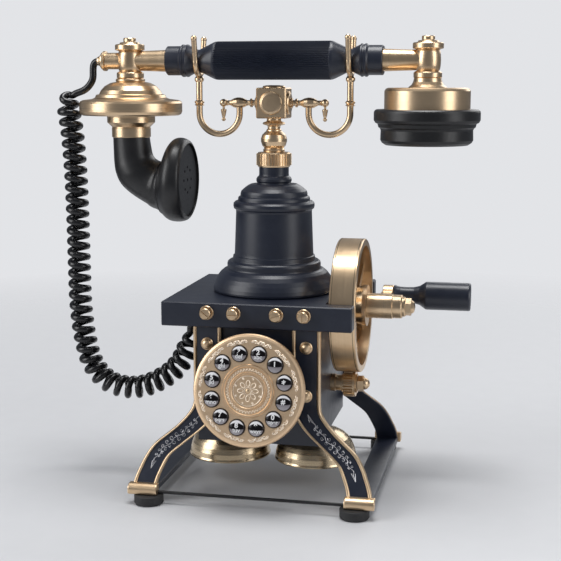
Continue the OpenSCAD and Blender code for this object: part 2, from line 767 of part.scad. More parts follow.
// A bent rod that ends in the fork that the handset lies in
module hook() {
  bend_x = (fork_x + 24.5) / 2;
  bend_r = (fork_x - 24.5) / 2;
  bend_z = 260.3;
  fork_wire = 1.9;
  fork_r = 8 + fork_wire;
  tip_y = 13;
  tip_z = 311.4;
  color(gold) difference() {
    union() {
      translate([bend_x, 0, bend_z]) rotate([90, 0, 0]) rotate(180) rotate_extrude(angle = 180)
        translate([bend_r, 0]) circle(r = hook_r);
      translate([fork_x - 2 * bend_r, 0, bend_z - bite]) cylinder(h = cube_z - bend_z, r = hook_r);
      translate([fork_x, 0, bend_z - bite]) cylinder(h = grip_z - fork_r - bend_z, r = hook_r);
      translate([fork_x, 0, 267.5]) turned([
        [0, -2.2], [3, -2], [3.4, -1.4], [2.6, -0.8], [3.4, 0], [3.4, 0.8], [2.6, 1.6], [0, 1.8]
      ]);
      translate([fork_x, 0, 283.6]) turned([
        [0, -1.6], [2.6, -1.6], [3.2, -0.6], [3.2, 0.8], [2.4, 2], [0, 2.2]
      ]);
      translate([fork_x, 0, grip_z]) rotate([90, 0, 90]) rotate(180) rotate_extrude(angle = 180)
        translate([fork_r, 0]) circle(r = fork_wire);
      for (s = [-1, 1]) {
        rod([fork_x, s * fork_r, grip_z - bite], [fork_x, s * tip_y, tip_z], fork_wire);
        translate([fork_x, s * fork_r, grip_z]) sphere(r = fork_wire);
        translate([fork_x, s * tip_y, tip_z]) sphere(r = fork_wire + 0.25);
      }
    }
    translate([0, 0, cube_z]) along_x() cylinder(h = 34, r = 3.7);
  }
}

// A straight rod between two points
module rod(a, b, r) {
  d = b - a;
  translate(a) rotate([0, acos(d[2] / norm(d)), atan2(d[1], d[0])]) cylinder(h = norm(d), r = r);
}

module hook_left() {
  mirror([1, 0, 0]) hook();
}

module hook_right() {
  hook();
}

// ---- handset ----

module handset_grip() {
  half = [
    [0, grip_r], [40.6, grip_r], [42.8, 12.4], [52.4, 7.8], [53, 7.6], [54, 7.6], [54.6, 7.8],
    [60.4, 10.6], [61, 11.2], [62, 11.2], [62.4, 10.7], [63.4, 10.7], [63.8, 11.2], [65, 11.2],
    [65.6, 10.6], [66.2, 10.1], [grip_end - 0.5, 10.1], [grip_end, 9.6]
  ];
  right = [for (p = half) [p[1], p[0]]];
  left = [for (p = reversed(half)) [p[1], -p[0]]];
  color(navy) translate([0, 0, grip_z]) along_x() difference() {
    turned(concat([[0, -grip_end]], left, right, [[0, grip_end]]));
    translate([0, 0, -90]) cylinder(h = 180, r = 5);
    for (s = [0, 1]) mirror([0, 0, s]) translate([0, 0, grip_end - 10]) cylinder(h = 20, r = 7);
  }
}

// A tube from the grip's socket to the fitting at x
module grip_tube(x) {
  along_x() difference() {
    turned([
      [0, grip_end - 10], [7, grip_end - 10], [7, grip_end], [7.6, grip_end], [7.2, grip_end + 10],
      [6.8, x - 4], [0, x - 4]
    ]);
    translate([0, 0, 60]) cylinder(h = 60, r = 4);
    translate([0, 0, x]) rotate([0, -90, 0]) translate([0, 0, -20]) cylinder(h = 40, r = tee_r);
  }
}

// Gold tubes between the grip and the end fittings, and the gland on the left
module handset_tubes() {
  color(gold) translate([0, 0, grip_z]) {
    grip_tube(ear_x);
    mirror([1, 0, 0]) grip_tube(mic_x);
    rotate([0, -90, 0]) difference() {
      turned([
        [0, mic_x + 4], [5.8, mic_x + 4], [5.8, 121.6], [7, 121.8], [7, 123.4], [6.2, 123.8],
        [6, 124.6], [3.6, 126.4], [3.2, 127.6], [2.8, 128.2], [0, 128.2]
      ]);
      translate([0, 0, mic_x]) rotate([0, 90, 0]) translate([0, 0, -20]) cylinder(h = 40, r = tee_r);
    }
  }
}

// Vertical fittings at the handset's ends, with a slotted screw on top
module handset_tees() {
  color(gold) for (x = [-mic_x, ear_x]) translate([x, 0, 0]) difference() {
    turned([
      [0, 284.4], [9, 284.4], [9.6, 285], [9.6, 287.8], [9, 288.6], [8.2, 289], [tee_r, 289.4],
      [tee_r, 303], [8.4, 303.6], [10.1, 304], [10.4, 304.4], [10.4, 307.4], [9.8, 308],
      [7.4, 308.3], [6.6, 309.4], [4.6, 309.6], [4.4, 310], [4.4, 312], [4, 312.5], [0, 312.5]
    ]);
    rotate(25) translate([-6, -0.5, 310.9]) cube([12, 1, 3]);
  }
}

module mic_housing() {
  color(gold) translate([-mic_x, 0, 0]) difference() {
    turned([
      [0, 284.4], [9.4, 284.4], [10.4, 283.6], [10.4, 282.6], [10, 282], [14.2, 281.2],
      [18.2, 279], [21, 276], [22.3, 273.4], [24.4, 272.9], [25.2, 271], [27.4, 270],
      [33.8, 269.2], [35.6, 268.4], [mic_r, 267], [mic_r, 261.2], [35.7, 259.4], [34, 258.5],
      [30, 258.3], [17.2, 258.2], [17, 257.6], [17, 253.6], [16.4, 253], [13.6, 250.4],
      [13.6, 249.9], [13.8, 249.6], [13.8, 243.4], [13.4, 243], [0, 243]
    ]);
    turned([[0, 240], [11, 240], [11, 254], [14, 262], [30, 262.4], [30, 266], [20, 268.6], [17, 274], [0, 278]]);
  }
}

// Microphone and earpiece inserts
module capsules() {
  color(steel) {
    translate([-mic_x, 0, 262.6]) cylinder(h = 4, r = 15);
    translate([-mic_x, 0, 266.6]) cylinder(h = 2, r = 10);
    translate([ear_x, 0, 249]) cylinder(h = 10, r = 20);
    translate([ear_x, 0, 259]) cylinder(h = 3, r = 8);
  }
}

// The horn's two outlines seen from the front, each point as a distance from the
// microphone's axis and a height: first the lower left one, then the upper right one.
horn_outline = [
  [-13, 243, 13, 243], [-12.8, 234, 14, 236], [-12.5, 225.5, 15, 231], [-11.3, 217.6, 16.6, 228.3],
  [-7.5, 209.5, 18.7, 226.9], [-0.2, 202.8, 20.6, 226.1], [9.5, 196.8, 22.3, 226],
  [20.6, 190.9, 23.8, 226.1], [23.7, 188.3, 25.3, 228.9], [26.7, 185.6, 27.2, 234.1],
  [29.5, 184, 29.9, 239.4], [32.5, 183.4, 33.2, 242.4], [36.7, 183.4, 37.1, 242.9],
  [40.7, 184.6, 41.1, 241.5], [42.3, 187, 42.5, 239.2]
];
horn_sides = 28;
horn_wall = 2.2;
// Middle of the horn's mouth, and the seat of its grille
mouth_z = 213.2;
seat_x = 38.6 - mic_x;
// Rings of the horn's inside wall that are drawn in from the outline
inside_rings = 10;

// A ring of points about a middle in the XZ plane, across the direction d
function ring_xz(mid, d, r) = [
  for (k = [0 : horn_sides - 1])
    let (c = r * cos(360 * k / horn_sides), s = r * sin(360 * k / horn_sides))
      [mid[0] + c * d[0], s, mid[1] + c * d[1]]
];

// Ring number i of the horn, drawn in by w
function horn_ring(i, w) =
  let (p = horn_outline[i], a = [p[0] - mic_x, p[1]], b = [p[2] - mic_x, p[3]])
  ring_xz((a + b) / 2, unit(b - a), norm(b - a) / 2 - w);

// One closed wall: down the outside, over the rim and back up the inside
module horn() {
  across = [1, 0];
  up = [0, 1];
  socket = [-mic_x, 251];
  rings = [
    ring_xz(socket, across, 10.7), ring_xz([-mic_x, 243], across, 10.7),
    for (i = [0 : len(horn_outline) - 1]) horn_ring(i, 0),
    ring_xz([seat_x + 3.4, mouth_z], up, 26.6), ring_xz([seat_x, mouth_z], up, 26.4),
    ring_xz([seat_x - 0.1, mouth_z], up, 24.5),
    for (i = [inside_rings : -1 : 1]) horn_ring(i, horn_wall),
    ring_xz([-mic_x, 241], across, 8.4), ring_xz(socket, across, 8.4)
  ];
  n = len(rings);
  color(black) polyhedron([for (ring = rings) each ring], [
    for (i = [0 : n - 1], k = [0 : horn_sides - 1])
      let (j = (k + 1) % horn_sides, i2 = (i + 1) % n)
        [i * horn_sides + k, i * horn_sides + j, i2 * horn_sides + j, i2 * horn_sides + k]
  ], convexity = 8);
}

// Perforated disc in the horn's mouth
module horn_grille() {
  color(black) translate([seat_x, 0, mouth_z]) rotate([0, 90, 0]) difference() {
    turned([[0, 0], [26, 0], [26, 1.8], [24.6, 2.4], [0, 2.6]]);
    for (a = [0 : 45 : 359]) rotate(a) translate([9, 0, -1]) cylinder(h = 5, r = 1.1);
    translate([0, 0, -1]) cylinder(h = 5, r = 1.1);
  }
}

module ear_housing() {
  color(gold) translate([ear_x, 0, 0]) difference() {
    turned([
      [0, 284.4], [9.2, 284.4], [9.4, 283.4], [9.8, 281.8], [10.8, 280], [12.6, 278.6], [13, 278],
      [26.6, 278], [28.2, 277.2], [29, 275.8], [29, 263.5], [0, 263.5]
    ]);
    turned([[0, 262], [27, 262], [27, 274], [25, 276], [0, 276]]);
  }
}

module ear_cap() {
  color(black) translate([ear_x, 0, 0]) difference() {
    turned([
      [0, 263.5], [34.4, 263.5], [35.6, 262.6], [ear_r, 261.4], [ear_r, 256.4], [35, 254.6],
      [33.4, 253.8], [32.8, 251.6], [31.6, 250.6], [31.2, 249.4], [31.4, 243], [30.4, 241.2],
      [28, 239.6], [20, 239.2], [17, 240], [0, 242.4]
    ]);
    turned([[0, 246], [27, 246], [27, 265], [0, 265]]);
    for (a = [0 : 60 : 359]) rotate(a) translate([8, 0, 236]) cylinder(h = 14, r = 1.5);
    cylinder_at(236, 14, 1.5);
  }
}

// ---- choice of nodes ----

base_plate();
plate_screws();
housing();
housing_floor();
side_frame_left();
side_frame_right();
frame_trims();
tie_rods();
feet();
leg_nuts();
bell_left();
bell_right();
bell_posts();
ringer_coil();
circuit_board();
hook_switch();
column();
column_nut();
dial_housing();
dial_plate();
crank_bush();
pinion_stud();
cord_bush();
cord_coil();
cord_tail();
clapper();
button_1();
button_2();
button_3();
button_4();
button_5();
button_6();
button_7();
button_8();
button_9();
button_0();
button_star();
button_hash();
cradle_stem();
cradle_cube();
cradle_caps();
cradle_arms();
hook_left();
hook_right();
flywheel();
crank_shaft();
crank_arm();
crank_nut();
crank_handle();
pinion();
handset_grip();
handset_tubes();
handset_tees();
mic_housing();
capsules();
horn();
horn_grille();
ear_housing();
ear_cap();
cord_lead();
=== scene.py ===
"""Looks of a corded desk telephone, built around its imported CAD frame. Metres, +Z up, front at -Y."""

import json
import math

import bmesh
import bpy
import numpy as np
from mathutils import Matrix, Vector


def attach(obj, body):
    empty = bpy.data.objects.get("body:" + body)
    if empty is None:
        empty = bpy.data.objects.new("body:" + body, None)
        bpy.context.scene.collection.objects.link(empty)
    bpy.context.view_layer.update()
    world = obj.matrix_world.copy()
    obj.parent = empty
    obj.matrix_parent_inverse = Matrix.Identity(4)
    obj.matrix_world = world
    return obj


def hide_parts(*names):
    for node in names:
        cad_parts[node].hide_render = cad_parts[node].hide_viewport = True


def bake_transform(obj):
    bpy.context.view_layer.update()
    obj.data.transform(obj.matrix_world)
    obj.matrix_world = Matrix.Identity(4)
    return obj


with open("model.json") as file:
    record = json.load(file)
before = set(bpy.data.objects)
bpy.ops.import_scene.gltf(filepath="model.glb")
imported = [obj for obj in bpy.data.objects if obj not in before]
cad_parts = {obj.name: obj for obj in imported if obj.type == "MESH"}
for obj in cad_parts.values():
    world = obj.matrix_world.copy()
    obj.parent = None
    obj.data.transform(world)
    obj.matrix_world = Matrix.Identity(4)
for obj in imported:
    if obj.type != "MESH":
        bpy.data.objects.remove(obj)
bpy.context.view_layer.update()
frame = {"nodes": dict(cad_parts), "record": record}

MM = 0.001


# ---- camera ----

FOCAL_MM, SENSOR_MM, NEAR = 77.38, 36, 0.01
CAMERA_PLACE = (0.177831, -0.826727, 0.280917)
CAMERA_DOWN, CAMERA_TURN = 0.16208, 0.2065


def make_camera():
    """The camera solved from the photograph's straight edges."""
    data = bpy.data.cameras.new("camera")
    data.lens = FOCAL_MM
    data.sensor_width = SENSOR_MM
    data.clip_start = NEAR
    camera = bpy.data.objects.new("camera", data)
    camera.location = CAMERA_PLACE
    camera.rotation_euler = (math.pi / 2 - CAMERA_DOWN, 0, CAMERA_TURN)
    bpy.context.scene.collection.objects.link(camera)
    bpy.context.scene.camera = camera


make_camera()


# ---- mesh helpers ----

def link(name, vertices, faces, material, smooth_angle=35):
    """A new mesh object. Edges sharper than smooth_angle degrees stay sharp."""
    mesh = bpy.data.meshes.new(name)
    mesh.from_pydata([tuple(v) for v in vertices], [], faces)
    mesh.validate()
    obj = bpy.data.objects.new(name, mesh)
    bpy.context.scene.collection.objects.link(obj)
    mesh.materials.append(material)
    shade(mesh, smooth_angle)
    return obj


def shade(mesh, smooth_angle):
    """Smooth shading with sharp edges, and normals that point outwards."""
    mesh.polygons.foreach_set("use_smooth", [True] * len(mesh.polygons))
    bm = bmesh.new()
    bm.from_mesh(mesh)
    bmesh.ops.recalc_face_normals(bm, faces=bm.faces)
    limit = math.radians(smooth_angle)
    for e in bm.edges:
        e.smooth = len(e.link_faces) == 2 and e.calc_face_angle(0) < limit
    bm.to_mesh(mesh)
    bm.free()


def catmull(points, steps):
    """Points along a smooth curve through points, steps to each span."""
    p = np.array(points, float)
    out = []
    for i in range(len(p) - 1):
        a, b, c, d = p[max(0, i - 1)], p[i], p[i + 1], p[min(len(p) - 1, i + 2)]
        for k in range(steps):
            t = k / steps
            out.append(0.5 * (2 * b + (c - a) * t + (2 * a - 5 * b + 4 * c - d) * t * t
                              + (3 * b - a - 3 * c + d) * t ** 3))
    out.append(p[-1])
    return np.array(out)


def tube_rings(path, radius, sides, first_side=(0, 1, 0)):
    """Rings of a round tube along a path."""
    path = np.array(path, float)
    tangents = np.gradient(path, axis=0)
    tangents /= np.linalg.norm(tangents, axis=1)[:, None]
    side = np.array(first_side, float)
    rings = []
    for point, tangent in zip(path, tangents):
        side = side - tangent * (side @ tangent)
        side /= np.linalg.norm(side)
        up = np.cross(tangent, side)
        turn = np.arange(sides) * 2 * math.pi / sides
        rings.append(point + radius * (np.cos(turn)[:, None] * side + np.sin(turn)[:, None] * up))
    return rings


def skin(rings):
    """Vertices and faces of the capped surface through rings that have the same number of points."""
    n, sides = len(rings), len(rings[0])
    faces = []
    for i in range(n - 1):
        j = i + 1
        for k in range(sides):
            m = (k + 1) % sides
            faces.append((i * sides + k, i * sides + m, j * sides + m, j * sides + k))
    faces.append(tuple(range(sides - 1, -1, -1)))
    faces.append(tuple((n - 1) * sides + k for k in range(sides)))
    return np.concatenate(rings), faces


# ---- cord ----

CORD_D = 5.0
CURL_D = 17.2
CURL_PITCH = 7.9
CURL_SLACK = 0.05
CURL_RAMP = 13.0
CURL_START = 0.5
SLOWEST_TURN = 0.35
POINTS_PER_TURN = 26
SMOOTHING = 8
CURL_ROUTE = [
    (-151.6, 0, 269.8), (-150.4, 0, 258), (-148.6, 0, 243), (-147, 0, 216), (-146.4, 0, 184),
    (-146.2, 0, 150), (-145.8, 0, 120), (-143, 0, 95), (-137.6, 0, 76), (-127, 0, 63.8),
    (-113, 0, 59.3), (-99, 0, 60.4), (-86, 0, 66), (-75, 0, 73.8), (-67, 0, 84.5),
    (-63, 0, 95), (-62.4, 0, 103.4),
]
LEAD_ROUTE = [
    (-128.3, 0, 296.4), (-129.8, 0, 296.1), (-131.2, 0, 294.6), (-131.8, 0, 292), (-131.9, 0, 288),
    (-132.3, 0, 283.6), (-135.4, 0, 278.9), (-139.6, 0, 275.7), (-145.2, 0, 273.7),
]
TAIL_ROUTE = [
    (-61.8, 0, 107.2), (-59.4, 0, 110.4), (-55.6, 0, 112.2), (-51, 0, 112.5), (-46.2, 0, 112.5),
]


def arc_lengths(path):
    """How far along the path each of its points is."""
    return np.concatenate([[0], np.cumsum(np.linalg.norm(np.diff(path, axis=0), axis=1))])


def resample(path, distances):
    """Points at those distances along the path."""
    s = arc_lengths(path)
    return np.stack([np.interp(distances, s, path[:, i]) for i in range(3)], axis=1)


def eased_path(path, reach):
    """The path with its bends rounded by a running mean over 2 reach + 1 points. Its ends stay."""
    before = 2 * path[0] - path[reach:0:-1]
    after = 2 * path[-1] - path[-2:-reach - 2:-1]
    padded = np.concatenate([before, path, after])
    kernel = np.full(2 * reach + 1, 1 / (2 * reach + 1))
    return np.stack([np.convolve(padded[:, i], kernel, "valid") for i in range(3)], axis=1)


def cord_path():
    """The cord's centreline, in millimetres: the uncurled lead, the curls and the uncurled tail."""
    middle = catmull(LEAD_ROUTE + CURL_ROUTE + TAIL_ROUTE, 40)
    s = arc_lengths(middle)
    first = s[np.argmin(np.linalg.norm(middle - np.array(LEAD_ROUTE[-1]), axis=1))]
    last = s[np.argmin(np.linalg.norm(middle - np.array(CURL_ROUTE[-1]), axis=1))]
    step = CURL_PITCH / POINTS_PER_TURN
    at = np.linspace(0, s[-1], int(s[-1] / step) + 1)
    centre = eased_path(resample(middle, at), SMOOTHING)
    tangent = np.gradient(centre, axis=0)
    tangent /= np.linalg.norm(tangent, axis=1)[:, None]
    inward = np.stack([-tangent[:, 2], np.zeros(len(at)), tangent[:, 0]], axis=1)
    run_out = 2
    share = np.minimum((at - first) / CURL_RAMP, (last + run_out - at) / CURL_RAMP)
    share = np.clip(share, 0, 1)
    share = share * share * (3 - 2 * share)
    curl_r = (CURL_D - CORD_D) / 2 - CURL_SLACK
    # The turns are drawn out where the curl begins and ends, so that no bend is tight.
    rate = 2 * math.pi / CURL_PITCH * (SLOWEST_TURN + (1 - SLOWEST_TURN) * share)
    turn = np.cumsum(rate) * (at[1] - at[0])
    turn += CURL_START - turn[np.searchsorted(at, first)]
    across = np.array([0.0, 1.0, 0.0])
    return centre + (share * curl_r)[:, None] * (
        np.cos(turn)[:, None] * inward + np.sin(turn)[:, None] * across
    )


def make_cord(material):
    """One cord from the housing to the handset, in place of the CAD cord parts."""
    path = cord_path() * MM
    rings = tube_rings(path, CORD_D / 2 * MM, sides=14)
    cord = link("handset_cord", *skin(rings), material, smooth_angle=60)
    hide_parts("cord_coil", "cord_lead", "cord_tail")
    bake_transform(cord)


# ---- materials ----

def node(tree, kind, inputs=None, **settings):
    """Adds a shader node. inputs maps socket names or numbers to values or to other sockets."""
    made = tree.nodes.new(kind)
    for key, value in settings.items():
        setattr(made, key, value)
    for key, value in (inputs or {}).items():
        if isinstance(value, bpy.types.NodeSocket):
            tree.links.new(value, made.inputs[key])
        else:
            made.inputs[key].default_value = value
    return made


def new_material(name, **sockets):
    """A principled material. sockets are uniform values for its inputs."""
    mat = bpy.data.materials.new(name)
    mat.use_nodes = True
    tree = mat.node_tree
    shader = tree.nodes["Principled BSDF"]
    for key, value in sockets.items():
        shader.inputs[key.replace("_", " ")].default_value = value
    return mat, tree, shader


def noise(tree, coords, scale, detail=3.0, rough=0.5):
    return node(tree, "ShaderNodeTexNoise", {"Vector": coords, "Scale": scale, "Detail": detail,
                                             "Roughness": rough}).outputs["Fac"]


def remap(tree, value, low, high, out_low, out_high):
    return node(tree, "ShaderNodeMapRange", {"Value": value, "From Min": low, "From Max": high,
                                             "To Min": out_low, "To Max": out_high}).outputs["Result"]


def mix_colour(tree, factor, a, b):
    made = node(tree, "ShaderNodeMix", {0: factor}, data_type="RGBA")
    for socket, value in ((made.inputs[6], a), (made.inputs[7], b)):
        if isinstance(value, bpy.types.NodeSocket):
            tree.links.new(value, socket)
        else:
            socket.default_value = (*value, 1)
    return made.outputs[2]


def object_coords(tree):
    return node(tree, "ShaderNodeTexCoord").outputs["Object"]


def turned_coords(tree, axis, centre):
    """Distance from an axis and place along it, so that noise runs in rings round the axis."""
    moved = node(tree, "ShaderNodeVectorMath", {0: object_coords(tree), 1: centre},
                 operation="SUBTRACT").outputs[0]
    parts = node(tree, "ShaderNodeSeparateXYZ", {0: moved}).outputs
    names = [n for n in "XYZ" if n != axis]
    flat = node(tree, "ShaderNodeCombineXYZ", {0: parts[names[0]], 1: parts[names[1]]}).outputs[0]
    radius = node(tree, "ShaderNodeVectorMath", {0: flat}, operation="LENGTH").outputs["Value"]
    return node(tree, "ShaderNodeCombineXYZ", {0: radius, 1: parts[axis]}).outputs[0]


def bump(tree, shader, height, strength, distance):
    made = node(tree, "ShaderNodeBump", {"Height": height, "Strength": strength, "Distance": distance})
    tree.links.new(made.outputs[0], shader.inputs["Normal"])


def brushed(name, colour, dark, rough, axis="Z", centre=(0, 0, 0)):
    """Satin metal with fine turning marks round an axis, and faint cloudy tarnish."""
    mat, tree, shader = new_material(name, Metallic=1.0)
    coords = object_coords(tree)
    rings = turned_coords(tree, axis, centre)
    fine = noise(tree, rings, 3200, 4, 0.7)
    wide = noise(tree, rings, 420, 2)
    cloud = noise(tree, coords, 55, 3)
    streak = node(tree, "ShaderNodeMath", {0: fine, 1: wide}, operation="ADD").outputs[0]
    tarnish = remap(tree, cloud, 0.42, 0.72, 0, 0.3)
    base = mix_colour(tree, tarnish, colour, dark)
    tinted = mix_colour(tree, remap(tree, streak, 0.7, 1.3, 0, 0.16), base, dark)
    tree.links.new(tinted, shader.inputs["Base Color"])
    tree.links.new(remap(tree, streak, 0.7, 1.3, rough - 0.04, rough + 0.06), shader.inputs["Roughness"])
    bump(tree, shader, streak, 0.06, 0.00003)
    return mat


def painted(name, colour, light, rough):
    """Satin paint with a fine orange-peel skin and faint dust."""
    mat, tree, shader = new_material(name)
    coords = object_coords(tree)
    peel = noise(tree, coords, 1900, 2)
    dust = noise(tree, coords, 130, 5, 0.65)
    base = mix_colour(tree, remap(tree, dust, 0.5, 0.8, 0, 0.5), colour, light)
    tree.links.new(base, shader.inputs["Base Color"])
    tree.links.new(remap(tree, dust, 0.3, 0.8, rough - 0.04, rough + 0.08), shader.inputs["Roughness"])
    shader.inputs["Coat Weight"].default_value = 0.25
    shader.inputs["Coat Roughness"].default_value = 0.3
    bump(tree, shader, peel, 0.1, 0.00006)
    return mat


def moulded(name, colour, rough, grain=900, depth=0.00005):
    """Moulded plastic or rubber with a fine grain."""
    mat, tree, shader = new_material(name)
    coords = object_coords(tree)
    fine = noise(tree, coords, grain, 3)
    cloud = noise(tree, coords, 90, 3)
    lighter = tuple(min(1, c * 1.9 + 0.004) for c in colour)
    tree.links.new(mix_colour(tree, remap(tree, cloud, 0.45, 0.8, 0, 0.6), colour, lighter),
                   shader.inputs["Base Color"])
    tree.links.new(remap(tree, fine, 0.3, 0.7, rough - 0.05, rough + 0.07), shader.inputs["Roughness"])
    bump(tree, shader, fine, 0.15, depth)
    return mat


# Where the axes of the turned parts lie, in metres. FAR_Z is above the phone, for near-straight marks.
MIC_X, EAR_X, BELL_X, BELL_Y = -0.1041, 0.106, 0.0315, -0.005
CRANK_Z, TUBE_Z, PINION_Z, FAR_Z = 0.1272, 0.2965, 0.0707, 0.7
GOLD = (0.80, 0.60, 0.39)
GOLD_DARK = (0.50, 0.33, 0.18)
gold_z = brushed("gold_turned", GOLD, GOLD_DARK, 0.30)
gold_x = brushed("gold_wheel", GOLD, GOLD_DARK, 0.30, "X", (0, 0, CRANK_Z))
gold_flat = brushed("gold_satin", GOLD, GOLD_DARK, 0.34, "Y", (0, 0, FAR_Z))
gold_mic = brushed("gold_microphone", GOLD, GOLD_DARK, 0.30, "Z", (MIC_X, 0, 0))
gold_ear = brushed("gold_earpiece", GOLD, GOLD_DARK, 0.30, "Z", (EAR_X, 0, 0))
gold_tube = brushed("gold_tube", GOLD, GOLD_DARK, 0.30, "X", (0, 0, TUBE_Z))
gold_pinion = brushed("gold_pinion", GOLD, GOLD_DARK, 0.30, "X", (0, 0, PINION_Z))
dial_gold = brushed("dial_gold", (0.90, 0.66, 0.43), (0.66, 0.46, 0.28), 0.42, "Y", (0, 0, FAR_Z))
brass_left, brass_right = (
    brushed("gong_brass_" + side, (0.66, 0.53, 0.36), (0.36, 0.26, 0.14), 0.25, "Z", (x, BELL_Y, 0))
    for side, x in (("left", -BELL_X), ("right", BELL_X))
)
navy = painted("navy_satin", (0.011, 0.015, 0.029), (0.020, 0.026, 0.044), 0.38)
phenolic = moulded("phenolic", (0.010, 0.010, 0.011), 0.36)
rubber = moulded("rubber", (0.016, 0.016, 0.017), 0.62, 500)
cord_skin = moulded("cord_vinyl", (0.007, 0.007, 0.008), 0.24, 700, 0.00002)
steel = brushed("steel", (0.62, 0.62, 0.64), (0.35, 0.35, 0.37), 0.3)
# Dark brown for the thin rings on the flywheel rim: the painted shade of a groove.
groove_shade = moulded("groove_shadow", (0.045, 0.026, 0.012), 0.6)
pale_relief = brushed("pale_relief", (0.97, 0.87, 0.74), (0.80, 0.64, 0.48), 0.5)
digit_white = moulded("digit_white", (0.80, 0.80, 0.80), 0.4)
board = moulded("board_green", (0.02, 0.10, 0.05), 0.45)
copper = brushed("coil_copper", (0.62, 0.28, 0.13), (0.28, 0.10, 0.05), 0.35)

SLOT_MATERIALS = {
    "gold_brass": gold_z, "navy_paint": navy, "black_phenolic": phenolic, "black_rubber": rubber,
    "black_cord": cord_skin, "button_chrome": phenolic, "bright_steel": steel, "board": board,
    "copper_coil": copper, "black_enamel": phenolic,
}
NODE_MATERIALS = {
    "bell_left": brass_left, "bell_right": brass_right, "dial_plate": dial_gold, "flywheel": gold_x,
    "crank_arm": gold_x, "crank_nut": gold_x, "pinion": gold_pinion, "pinion_stud": gold_pinion,
    "handset_tubes": gold_tube, "mic_housing": gold_mic, "ear_housing": gold_ear,
    "plate_screws": gold_flat, "leg_nuts": gold_flat, "cradle_cube": gold_flat,
}


def dress_frame():
    """Gives every CAD node its material, chosen by its name or else by its slot."""
    slots = {p["node"]: p["material_slot"] for p in frame["record"]["subparts"]}
    for name, obj in frame["nodes"].items():
        obj.data.materials.clear()
        obj.data.materials.append(NODE_MATERIALS.get(name, SLOT_MATERIALS[slots[name]]))


def lens_with_painted_reflections(name, radius):
    """Clear button dome with painted reflections in its colour: a pale crescent of painted highlight at
    the top, a black band that is the printed label and also painted dark reflection, a grey foot of
    painted floor reflection, and a dark ring at its edge.
    """
    mat, tree, shader = new_material(name)
    parts = node(tree, "ShaderNodeSeparateXYZ", {0: object_coords(tree)}).outputs

    def math_node(operation, a, b):
        return node(tree, "ShaderNodeMath", {0: a, 1: b}, operation=operation).outputs[0]

    x = math_node("DIVIDE", parts["X"], radius)
    y = math_node("DIVIDE", parts["Y"], radius)
    xx = math_node("MULTIPLY", x, x)
    reach = math_node("SQRT", math_node("ADD", xx, math_node("MULTIPLY", y, y)), 0)
    # highlight_arch marks a pale crescent at the top of the lens, filled with near-white: a painted
    # highlight of the lights above.
    highlight_arch = math_node("ADD", y, math_node("MULTIPLY", xx, 0.42))
    foot = math_node("ADD", y, math_node("MULTIPLY", xx, -0.1))
    # black colours the band, which is the printed label and also painted dark reflection; white colours
    # the painted highlight.
    black, white = (0.006, 0.005, 0.006), (0.74, 0.74, 0.76)
    # The grey foot, lighter towards the bottom of the lens, is a painted reflection of the pale floor.
    painted_floor_reflection = mix_colour(tree, remap(tree, y, -0.95, -0.2, 0, 1),
                      (0.42, 0.40, 0.42), (0.24, 0.22, 0.235))
    # Between the grey foot and the crescent lies the black band: the printed label, and also a painted
    # dark reflection.
    floor_reflection_and_band = mix_colour(tree, remap(tree, foot, -0.26, -0.18, 0, 1), painted_floor_reflection, black)
    painted_highlight = mix_colour(tree, remap(tree, highlight_arch, 0.56, 0.64, 0, 1), floor_reflection_and_band, white)
    edge = mix_colour(tree, remap(tree, reach, 0.86, 0.92, 0, 1), painted_highlight, (0.016, 0.011, 0.010))
    tree.links.new(edge, shader.inputs["Base Color"])
    shader.inputs["Specular IOR Level"].default_value = 0.22
    scratches = noise(tree, object_coords(tree), 2500, 2)
    tree.links.new(remap(tree, scratches, 0.3, 0.7, 0.12, 0.22), shader.inputs["Roughness"])
    return mat


make_cord(cord_skin)
dress_frame()


# ---- pieces ----

def piece(name, mesh_parts, material, body, matrix=None, smooth_angle=35, replaced=()):
    """Adds a mesh piece given in millimetres that rides on a body."""
    vertices, faces = mesh_parts
    obj = link(name, np.array(vertices, float) * MM, faces, material, smooth_angle)
    if matrix is not None:
        obj.matrix_world = matrix
    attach(obj, body)
    if replaced:
        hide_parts(*replaced)
    return obj


def merged(parts):
    """Joins pairs of vertices and faces into one pair."""
    vertices, faces, base = [], [], 0
    for v, f in parts:
        vertices.extend(tuple(p) for p in v)
        faces.extend(tuple(i + base for i in face) for face in f)
        base += len(v)
    return vertices, faces


def lathe(profile, sides=96, axis="Z"):
    """A turned solid through points of radius and height, about +Z or laid along +X."""
    turn = np.arange(sides) * 2 * math.pi / sides
    rings = []
    for r, h in profile:
        ring = np.stack([r * np.cos(turn), r * np.sin(turn), np.full(sides, h)], axis=1)
        rings.append(ring if axis == "Z" else ring[:, [2, 0, 1]])
    return skin(rings)


def wires(paths, radius, sides=6):
    """Round wires along several paths, as one mesh."""
    return merged(skin(tube_rings(path, radius, sides, (0.3, 0.2, 0.93))) for path in paths)


def spiral(centre, radius, start, turns, count=16):
    """A flat spiral that winds inwards, as points of two coordinates."""
    t = np.linspace(0, 1, count)
    angle = start + turns * 2 * math.pi * t
    r = radius * (1 - 0.82 * t)
    return np.stack([centre[0] + r * np.cos(angle), centre[1] + r * np.sin(angle)], axis=1)


# ---- dial and buttons ----

